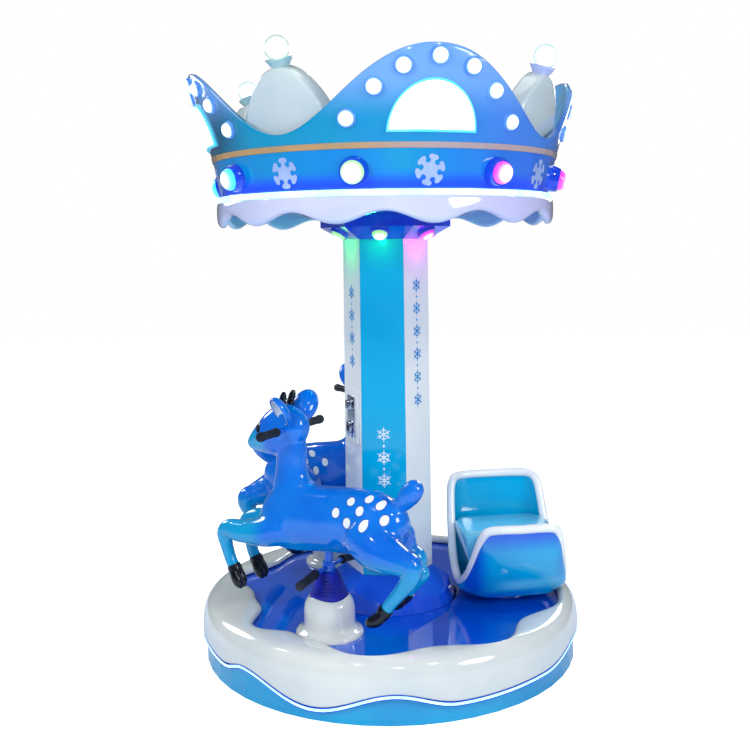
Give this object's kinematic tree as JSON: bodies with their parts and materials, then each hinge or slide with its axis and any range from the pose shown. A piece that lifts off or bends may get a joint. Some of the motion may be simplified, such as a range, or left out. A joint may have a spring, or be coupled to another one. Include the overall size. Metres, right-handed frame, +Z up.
{
  "type": "fairground carousel",
  "caption": "Small round carousel with a crown-shaped lit canopy on a hexagonal column, a turning snow-edged platform, lifting deer seats and a sleigh seat.",
  "frame": {"origin": "on the ground at the centre of the turntable and column", "axes": "+Z up along the column; -Y is the front, where the forward blue column face looks"},
  "size_m": [1.5676, 1.5676, 2.4187],
  "materials": {
    "wall_blue": "glossy moulded glass fibre, sky blue",
    "frame_steel": "dark grey painted steel",
    "plinth_blue": "glossy moulded glass fibre, royal blue",
    "column_blue": "glossy sky-blue panel",
    "column_white": "glossy white panel",
    "chrome": "polished chrome",
    "collar_blue": "glossy royal blue",
    "ceiling_blue": "satin blue",
    "snow_white": "glossy white glass fibre",
    "strip_light": "lit milky light strip",
    "crown_blue": "glossy blue glass fibre",
    "gold": "satin pale gold strip",
    "sign_white": "lit milky acrylic",
    "ball_glow": "lit milky lamp ball",
    "floor_blue": "glossy royal-blue glass fibre",
    "bellows_blue": "matt dark-blue rubberised cloth",
    "sleigh_blue": "glossy sky-blue glass fibre",
    "bench_blue": "glossy pale-blue glass fibre",
    "deer_blue": "glossy blue glass fibre with white spots",
    "pole_blue": "glossy blue painted steel with black rubber grips",
    "grip_black": "matt black rubber grips on a steel bar"
  },
  "bodies": {
    "machine": {"base_wall_1": "wall_blue", "base_wall_2": "wall_blue", "base_wall_3": "wall_blue", "base_wall_4": "wall_blue", "base_frame": "frame_steel", "column_plinth": "plinth_blue", "column_panel_1": "column_blue", "column_panel_2": "column_white", "column_panel_3": "column_blue", "column_panel_4": "column_white", "column_panel_5": "column_blue", "column_panel_6": "column_white", "hub_collar": "collar_blue", "ceiling": "ceiling_blue", "canopy_snow_skirt": "snow_white", "canopy_light_strip": "strip_light", "crown_band": "crown_blue", "gold_band": "gold", "crown_deck": "ceiling_blue", "crown_lobe_1": "crown_blue", "sign_panel_1": "sign_white", "snow_dome_1": "snow_white", "dome_ball_1": "ball_glow", "crown_lobe_2": "crown_blue", "sign_panel_2": "sign_white", "snow_dome_2": "snow_white", "dome_ball_2": "ball_glow", "crown_lobe_3": "crown_blue", "sign_panel_3": "sign_white", "snow_dome_3": "snow_white", "dome_ball_3": "ball_glow", "crown_lobe_4": "crown_blue", "sign_panel_4": "sign_white", "snow_dome_4": "snow_white", "dome_ball_4": "ball_glow"},
    "coin_door": {"coin_door": "column_white", "coin_mechanism": "chrome"},
    "platform": {"platform_floor": "floor_blue", "drive_ring": "frame_steel", "snow_rim": "snow_white", "base_light_strip": "strip_light", "lift_dome_front": "snow_white", "lift_dome_rear": "snow_white", "bellows_front": "bellows_blue", "bellows_rear": "bellows_blue", "sleigh_pedestal": "floor_blue", "sleigh_tub": "sleigh_blue", "sleigh_bench": "bench_blue", "sleigh_rim": "snow_white"},
    "deer_front": {"deer_front_body": "deer_blue", "deer_front_stand": "pole_blue", "deer_front_handles": "grip_black"},
    "deer_rear": {"deer_rear_body": "deer_blue", "deer_rear_stand": "pole_blue", "deer_rear_handles": "grip_black"}
  },
  "joints": [
    {"name": "platform_turn", "type": "hinge", "parent": "machine", "child": "platform", "pos_m": [0, 0, 0.18], "axis": [0, 0, 1], "continuous": true},
    {"name": "coin_door_hinge", "type": "hinge", "parent": "machine", "child": "coin_door", "pos_m": [-0.17455, -0.00797, 0.97], "axis": [0, 0, -1], "range_deg": [0, 100]},
    {"name": "deer_front_lift", "type": "slide", "parent": "platform", "child": "deer_front", "axis": [0, 0, 1], "range_m": [-0.035, 0.045], "deforming": ["bellows_front"]},
    {"name": "deer_rear_lift", "type": "slide", "parent": "platform", "child": "deer_rear", "axis": [0, 0, 1], "range_m": [-0.035, 0.045], "deforming": ["bellows_rear"]}
  ]
}
